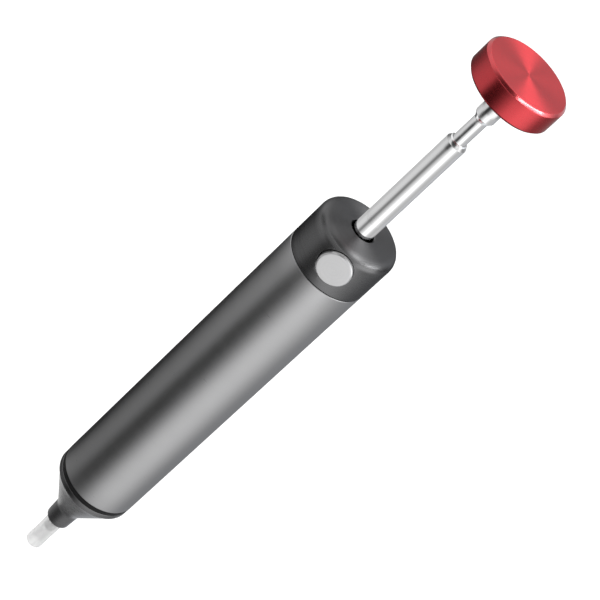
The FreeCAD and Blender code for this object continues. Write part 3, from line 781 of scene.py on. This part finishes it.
def build_cap():
    """Rear cap: turned head and threaded spigot, with a cross hole for the button."""
    cap = lathe("rear_cap_fine", cap_profile(), segs=192, steps=6, refine=1.2)
    # the cutter lies along Y, from inside the +Y wall out through the -Y side
    inner, outer, segs = -8.8, 14.0, 128
    profile = [
        (0.0, inner, 0.0), (CROSS_HOLE_R, inner, 0.0), (CROSS_HOLE_R, outer, 0.0), (0.0, outer, 0.0)
    ]
    cutter = lathe("cutter", profile, segs=segs)
    cutter.matrix_world = (
        Matrix.Translation((0, 0, BUTTON_Z * MM))
        @ Matrix.Rotation(math.radians(90), 4, "X")
        @ Matrix.Rotation(math.radians(180 / segs), 4, "Z")
    )
    bpy.context.view_layer.update()
    cut(cap, cutter)
    add_bevel(cap, width=0.00012)
    apply_modifiers(cap)
    weld(cap.data)
    shade(cap.data, 30)
    material = turned_metal(
        "dark_anodised_cap", **DARK_FINISH, aniso=0.3, line_depth=0.05, tint=(0.35, 0.35, 0.35),
        faced=dict(rough=0.50, aniso=0.80, normal_z=(0.55, 0.97)),
        # painted reflection: the cap's top glows with the surroundings' brightness for reflected
        # rays
        sky_above=(cap_hi.z - CAP_ROUND) * MM,
    )
    place(cap, "rear_cap", "barrel", material)
    return cap


def build_nose():
    """Neck, cone, rim and grooved spigot."""
    rim_r, spigot_r, groove_r = 9.95, 8.45, 6.96
    profile = [
        (2.25, nose_lo.z, 0.15),
        (3.05, nose_lo.z, 0.7),
        (3.3, 16.0, 2.2),
        (9.55, 26.5, 0.0),
        (rim_r, 26.95, 0.4),
        (rim_r, gasket_lo.z, 0.2),
        (spigot_r, gasket_lo.z, 0.05),
        (spigot_r, 30.5, 0.08),
        (groove_r, 30.5, 0.1),
        (groove_r, 32.4, 0.1),
        (spigot_r, 32.4, 0.08),
        (spigot_r, nose_hi.z, 0.35),
        (6.0, nose_hi.z, 0.25),
        (6.0, 25.6, 0.8),
        (2.4, 21.0, 0.3),
        (1.5, 21.0, 0.05),
        (1.5, 14.5, 0.02),
        (2.25, 14.5, 0.1),
    ]
    nose = lathe("nose_cone_fine", profile, segs=176, steps=8, refine=1.5)
    place(nose, "nose_cone", "nose", DARK_MAT)


def build_gasket():
    """Joint ring between nose and barrel, squeezed a little so that it bulges."""
    inner_r, bulge_r = 8.46, gasket_hi.x + 0.16
    profile = [
        (inner_r, gasket_lo.z, 0.1),
        (gasket_hi.x, gasket_lo.z, 0.12),
        (bulge_r, gasket_lo.z + 0.35, 0.2),
        (bulge_r, gasket_hi.z + 0.25, 0.2),
        (BARREL_R - 0.07, gasket_hi.z + 0.43, 0.03),
        (BARREL_R - 0.385, gasket_hi.z, 0.02),
        (inner_r, gasket_hi.z, 0.1),
    ]
    gasket = lathe("nose_gasket_fine", profile, segs=144, steps=6)
    place(gasket, "nose_gasket", "nose", RUBBER_MAT)


def build_knob():
    """Thick turned disc, chamfered both sides, with a blind hole for the rod below."""
    knob_r, hole_r, hole_top = knob_hi.x, 1.5, 178.3
    profile = [
        (hole_r, knob_lo.z, 0.0),
        (knob_r - 0.55, knob_lo.z, 0.08),
        (knob_r, knob_lo.z + 0.60, 0.10),
        (knob_r, knob_hi.z - 0.62, 0.30),
        (knob_r - 0.62, knob_hi.z, 0.30),
        (0.0, knob_hi.z, 0.0),
        (0.0, hole_top, 0.0),
        (hole_r, hole_top, 0.0),
    ]
    knob = lathe("plunger_knob_fine", profile, segs=192, steps=5, refine=1.0)
    place(knob, "plunger_knob", "plunger", RED_MAT)
    return knob


def build_rod():
    """Shaft with a blind hole in its lower end, latch shoulder, neck, flare and collar."""
    profile = [
        (0.6, rod_lo.z, 0.0),
        (1.7, rod_lo.z, 0.05),
        (2.0, rod_lo.z + 0.3, 0.05),
        (2.0, 107.4, 0.0),
        (2.5, 107.4, 0.05),
        (2.5, 158.5, 0.12),
        (2.05, 159.2, 0.10),
        (1.65, 159.25, 0.10),
        (1.65, 166.2, 0.5),
        (2.35, 167.2, 0.35),
        (2.35, 174.3, 0.0),
        (1.5, 174.3, 0.0),
        (1.5, rod_hi.z, 0.0),
        (0.0, rod_hi.z, 0.0),
        (0.0, 100.9, 0.0),
        (0.6, 100.9, 0.0),
    ]
    rod = lathe("plunger_rod_fine", profile, segs=96, steps=6, refine=2.0)
    place(rod, "plunger_rod", "plunger", ROD_MAT)


def build_button():
    """Button head, turned about Z then laid along Y, its inner end slotted for the latch."""
    inner, outer = -button_hi.y, -button_lo.y
    slot_size = 3.0 * MM
    profile = [
        (0.0, inner, 0.0),
        (BUTTON_R - 0.15, inner, 0.05),
        (BUTTON_R, inner + 0.15, 0.05),
        (BUTTON_R, outer - 0.22, 0.08),
        (BUTTON_R - 0.26, outer, 0.12),
        (0.0, outer - 0.015, 0.0),
    ]
    button = lathe("release_button_fine", profile, segs=112, steps=6, refine=0.6)
    bpy.ops.mesh.primitive_cube_add(size=1.0)
    tenon = bpy.context.active_object
    tenon.scale = (slot_size, slot_size, slot_size)
    tenon.location = (0, 0, inner * MM)
    bpy.context.view_layer.update()
    cut(button, tenon)
    shade(button.data, 30)
    button.data.transform(
        Matrix.Translation((0.10 * MM, 0, BUTTON_Z * MM))
        @ Matrix.Rotation(math.radians(90), 4, "X")
    )
    weld(button.data)
    place(button, "release_button", "button", BUTTON_MAT)


def build_nozzle():
    """Silicone tube that swells where the pipe is inside it, with softly rounded lips."""
    profile = [
        (1.35, 0.0, 0.22),
        (2.13, 0.0, 0.28),
        (2.10, 4.2, 2.0),
        (2.12, 6.6, 1.5),
        (2.17, 7.6, 1.5),
        (2.17, nozzle_hi.z, 0.2),
        (1.52, nozzle_hi.z, 0.1),
        (1.52, 6.95, 0.1),
        (1.35, 6.55, 0.3),
    ]
    nozzle = lathe("silicone_nozzle_fine", profile, segs=96, steps=6, refine=0.8)
    place(nozzle, "silicone_nozzle", "tip", SILICONE_MAT)


def build_pipe():
    inner_r, outer_r = 1.1, 1.5
    profile = [
        (inner_r, pipe_lo.z, 0.12),
        (outer_r, pipe_lo.z, 0.12),
        (outer_r, pipe_hi.z, 0.05),
        (inner_r, pipe_hi.z, 0.05),
    ]
    pipe = lathe("nozzle_pipe_fine", profile, segs=72, steps=5)
    place(pipe, "nozzle_pipe", "nose", PIPE_MAT)


def build_main_spring():
    """Coiled wire from the main spring's lower end to its top, at one length."""
    low, high, wire_r = main_spring_lo.z, main_spring_hi.z, 0.6
    path = coil_path(6.9, wire_r, low, high, turns=12.0)
    spring = wire_along("main_spring_fine", path, wire_r, sides=16)
    place(spring, "main_spring", "barrel", SPRING_MAT)
    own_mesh(spring)


def build_button_spring():
    """Lies along Y at the button's height."""
    low, high, wire_r = button_spring_lo.y, button_spring_hi.y, 0.25
    path = coil_path(2.6, wire_r, low, high, turns=4.0, dead=0.75)
    spring = wire_along("button_spring_fine", path, wire_r, sides=12)
    height = BUTTON_Z * MM
    spring.data.transform(
        Matrix.Translation((0, 0, height)) @ Matrix.Rotation(math.radians(-90), 4, "X")
    )
    place(spring, "button_spring", "barrel", SPRING_MAT)
    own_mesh(spring)


# CAD pieces that are kept and only get a material, and those that also get soft edges.
CARRIED_OVER = {
    "rod_bush": BRASS_MAT,
    "bumper_ring": RUBBER_MAT,
    "spring_seat": STEEL_MAT,
    "retaining_ring": SPRING_MAT,
    "nose_o_ring": RUBBER_MAT,
    "spring_follower": PLASTIC_MAT,
    "piston_head": PLASTIC_MAT,
    "piston_o_ring": RUBBER_MAT,
    "piston_washer": STEEL_MAT,
    "piston_nut": STEEL_MAT,
    "cleaning_pin": SPRING_MAT,
    "latch_slide": STEEL_MAT,
}
SOFT_EDGED = ("latch_slide", "piston_nut", "spring_seat", "piston_washer")


def finish_carried_over():
    for node, material in CARRIED_OVER.items():
        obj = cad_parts[node]
        set_material(obj, material)
        shade(obj.data, 35)
        if node in SOFT_EDGED:
            add_bevel(obj, width=0.00008)


build_barrel()
cap = build_cap()
build_nose()
build_gasket()
knob = build_knob()
build_rod()
build_button()
build_nozzle()
build_pipe()
build_main_spring()
build_button_spring()
finish_carried_over()


# -------------------------------------------------------------- the studio (metres)
def light_sheet(name, radius, heights):
    """An open cylinder about Z with a ring of vertices at each height."""
    segs = 96
    geom = bmesh.new()
    angles = [2 * math.pi * j / segs for j in range(segs)]
    grid = [
        [geom.verts.new((radius * math.sin(a), -radius * math.cos(a), z)) for a in angles]
        for z in heights
    ]
    for ring, above in zip(grid, grid[1:]):
        for j in range(segs):
            j2 = (j + 1) % segs
            geom.faces.new((ring[j], ring[j2], above[j2], above[j]))
    sheet = mesh_object(name, geom)
    for polygon in sheet.data.polygons:
        polygon.use_smooth = True
    return sheet


def tent_material():
    """Brightness by azimuth in bands of height, in the tent's own frame."""
    tree = new_material("tent_light")
    x, y, z = tree.split(tree.object_coords())
    azimuth = tree.math("ARCTAN2", x, tree.mul(y, -1.0))
    fraction = tree.circle_fraction(azimuth)

    def blend(below, above, span):
        weight = tree.remap(z, span=span)
        return tree.add(tree.mul(below, tree.sub(1.0, weight)), tree.mul(above, weight))

    low = tree.brightness(fraction, LOW)
    # the -X side is darker towards the nose
    minus_x = tree.remap(azimuth, span=(0.1, -0.5))
    downwards = tree.remap(z, span=(-0.055, -0.15), to=(0.06, 0.30))
    low = tree.mul(low, tree.sub(1.0, tree.mul(minus_x, downwards)))
    level = blend(tree.brightness(fraction, UNDER), low, span=(-0.26, -0.19))
    for stops, span in (
        (HIGH, (-0.029, -0.021)),
        (NECK, (0.0215, 0.0260)),
        (MIDDLE, (0.06, 0.11)),
    ):
        level = blend(level, tree.brightness(fraction, stops), span)
    even_level = 0.74
    level = blend(level, even_level, span=(0.22, 0.27))
    level = blend(level, tree.brightness(fraction, TOP), span=(0.315, 0.335))

    # a soft bright patch towards +X, seen in the rounded rims
    patch_azimuth, patch_z, patch_gain = 1.66, 0.345, 2.2
    across = tree.mul(tree.sub(azimuth, patch_azimuth), 2.6)
    upward = tree.mul(tree.sub(z, patch_z), 14.0)
    spread = tree.add(tree.mul(across, across), tree.mul(upward, upward))
    patch = tree.math("EXPONENT", tree.mul(spread, -1.0))
    level = tree.add(level, tree.mul(patch, patch_gain))
    cool = tree.mix(
        tree.remap(azimuth, span=(1.4, 2.4)), (1.0, 1.0, 1.0), (0.97, 0.99, 1.03)
    )
    tree.surface(tree.emission(Color=cool, Strength=level))
    return tree.owner


def card_material():
    tree = new_material("card_light")
    tree.surface(tree.emission(Strength=tree.brightness(tree.ray_fraction(), KNOB)))
    return tree.owner


def build_reflected_sheets():
    """The tent round everything and a low ring by the knob; only reflections show them."""
    bottom, top, rows = -0.55, 1.15, 34
    heights = [bottom + (top - bottom) * i / rows for i in range(rows + 1)]
    tent = light_sheet("light_tent", 0.25, heights)
    tent.rotation_euler = (0, 0, SIDE)
    tent.data.materials.append(tent_material())
    card = light_sheet("knob_card", 0.032, (0.1535, 0.1735))
    card.data.materials.append(card_material())
    for obj in (tent, card):
        obj.visible_camera = False
        obj.visible_diffuse = False
        obj.visible_transmission = False
        obj.visible_volume_scatter = False
        obj.visible_shadow = False


def build_floor():
    """Pale floor, below the lowest pose of the nozzle."""
    half, height = 6.0, -0.035
    geom = bmesh.new()
    corners = ((-half, -half), (half, -half), (half, half), (-half, half))
    geom.faces.new([geom.verts.new((x, y, 0)) for x, y in corners])
    floor = mesh_object("floor", geom)
    floor.location = (0, 0, height)
    tree = new_material("pale_floor")
    cloud = tree.noise(tree.object_coords(), scale=60.0, detail=4.0, rough=0.5)
    tree.surface(tree.principled({
        "Base Color": tree.mix(cloud, (0.90, 0.90, 0.90), (0.93, 0.93, 0.93)),
        "Roughness": 0.9,
        "Specular IOR Level": 0.1,
    }))
    floor.data.materials.append(tree.owner)
    floor.visible_glossy = False


def build_world():
    """White to the camera and for fill light, studio grey in reflections."""
    world = bpy.data.worlds.new("studio")
    bpy.context.scene.world = world
    tree = Nodes(world, "ShaderNodeOutputWorld")
    glossy = tree.node("ShaderNodeLightPath").outputs["Is Glossy Ray"]
    fill, grey = (
        tree.node("ShaderNodeBackground", {"Color": colour, "Strength": strength}).outputs[0]
        for colour, strength in (((1, 1, 1), 1.0), ((0.6, 0.6, 0.605), 0.8))
    )
    tree.surface(tree.mix_shaders(glossy, fill, grey))


def axes_matrix(right, up, back, at):
    """World matrix of an object from its three axes and its place."""
    return Matrix([*zip(right, up, back, at), (0, 0, 0, 1)])


def softbox(name, size, power):
    light = bpy.data.lights.new(name, "AREA")
    light.shape = "RECTANGLE"
    light.size = size
    light.energy = power
    return add_object(name, light)


def strip(name, direction, along, distance, length, width, power, aim, on):
    """A long softbox whose long side runs along a given direction; it lights one piece only."""
    obj = softbox(name, length, power)
    obj.data.size_y = width
    back = (SPIN @ Vector(direction)).normalized()
    right = SPIN @ Vector(along)
    right = (right - back * right.dot(back)).normalized()
    at = Vector(aim) + back * distance
    obj.matrix_world = axes_matrix(right, back.cross(right), back, at)
    lit = bpy.data.collections.new(name + "_lit")
    lit.objects.link(on)
    obj.light_linking.receiver_collection = lit


def build_lights():
    strip(
        "key_strip", direction=(0.291, 0.030, 0.956), along=(0.342, -0.940, -0.075),
        distance=0.462, length=0.38, width=0.14, power=0.26, aim=(0, 0, 0.15), on=knob,
    )
    strip(
        "rim_strip", direction=(0.608, -0.120, 0.784), along=(0.44, 0.609, -0.291),
        distance=0.29, length=0.31, width=0.036, power=0.47, aim=(0, 0, 0.18), on=knob,
    )
    strip(
        "cap_key", direction=(0.33, -0.06, 0.94), along=(0.26, -0.44, -0.12),
        distance=0.44, length=0.30, width=0.12, power=0.56, aim=(0, 0, 0.127), on=cap,
    )
    strip(
        "cap_rim", direction=(0.74, -0.060, 0.670), along=(0.378, 0.686, -0.323),
        distance=0.24, length=0.21, width=0.030, power=0.11, aim=(0, 0, 0.127), on=cap,
    )
    # a wide wash from above, kept out of reflections
    wash = softbox("floor_wash", size=1.8, power=14.0)
    aim, distance = Vector((0, 0, 0.09)), 1.6
    direction = SPIN @ Vector((0.0, 0.1, 1.0)).normalized()
    wash.location = aim + direction * distance
    wash.rotation_mode = "QUATERNION"
    wash.rotation_quaternion = direction.to_track_quat("Z", "Y")
    wash.visible_glossy = False


def build_camera():
    """Long lens looking down on the button's side, rolled so the barrel lies across the view."""
    data = bpy.data.cameras.new("camera")
    camera = add_object("camera", data)
    data.sensor_width = 36.0
    data.lens = 132.0
    data.shift_x = -0.0006
    data.shift_y = 0.0002
    data.clip_start = 0.02
    data.clip_end = 50.0
    # axes and place before the turn by SIDE
    right = Vector((0.67901, 0.4138, 0.60633))
    up = Vector((-0.73404, 0.3828, 0.56087))
    back = Vector((0.0, -0.8259, 0.56372))
    at = Vector((0.0016, -0.3893, 0.3704))
    roll = math.radians(0.3)
    right, up = (
        right * math.cos(roll) - up * math.sin(roll),
        up * math.cos(roll) + right * math.sin(roll),
    )
    camera.matrix_world = axes_matrix(SPIN @ right, SPIN @ up, SPIN @ back, SPIN @ at)
    bpy.context.scene.camera = camera


build_reflected_sheets()
build_floor()
build_world()
build_lights()
build_camera()
bpy.context.scene.view_settings.view_transform = "Standard"
bpy.context.scene.view_settings.look = "None"
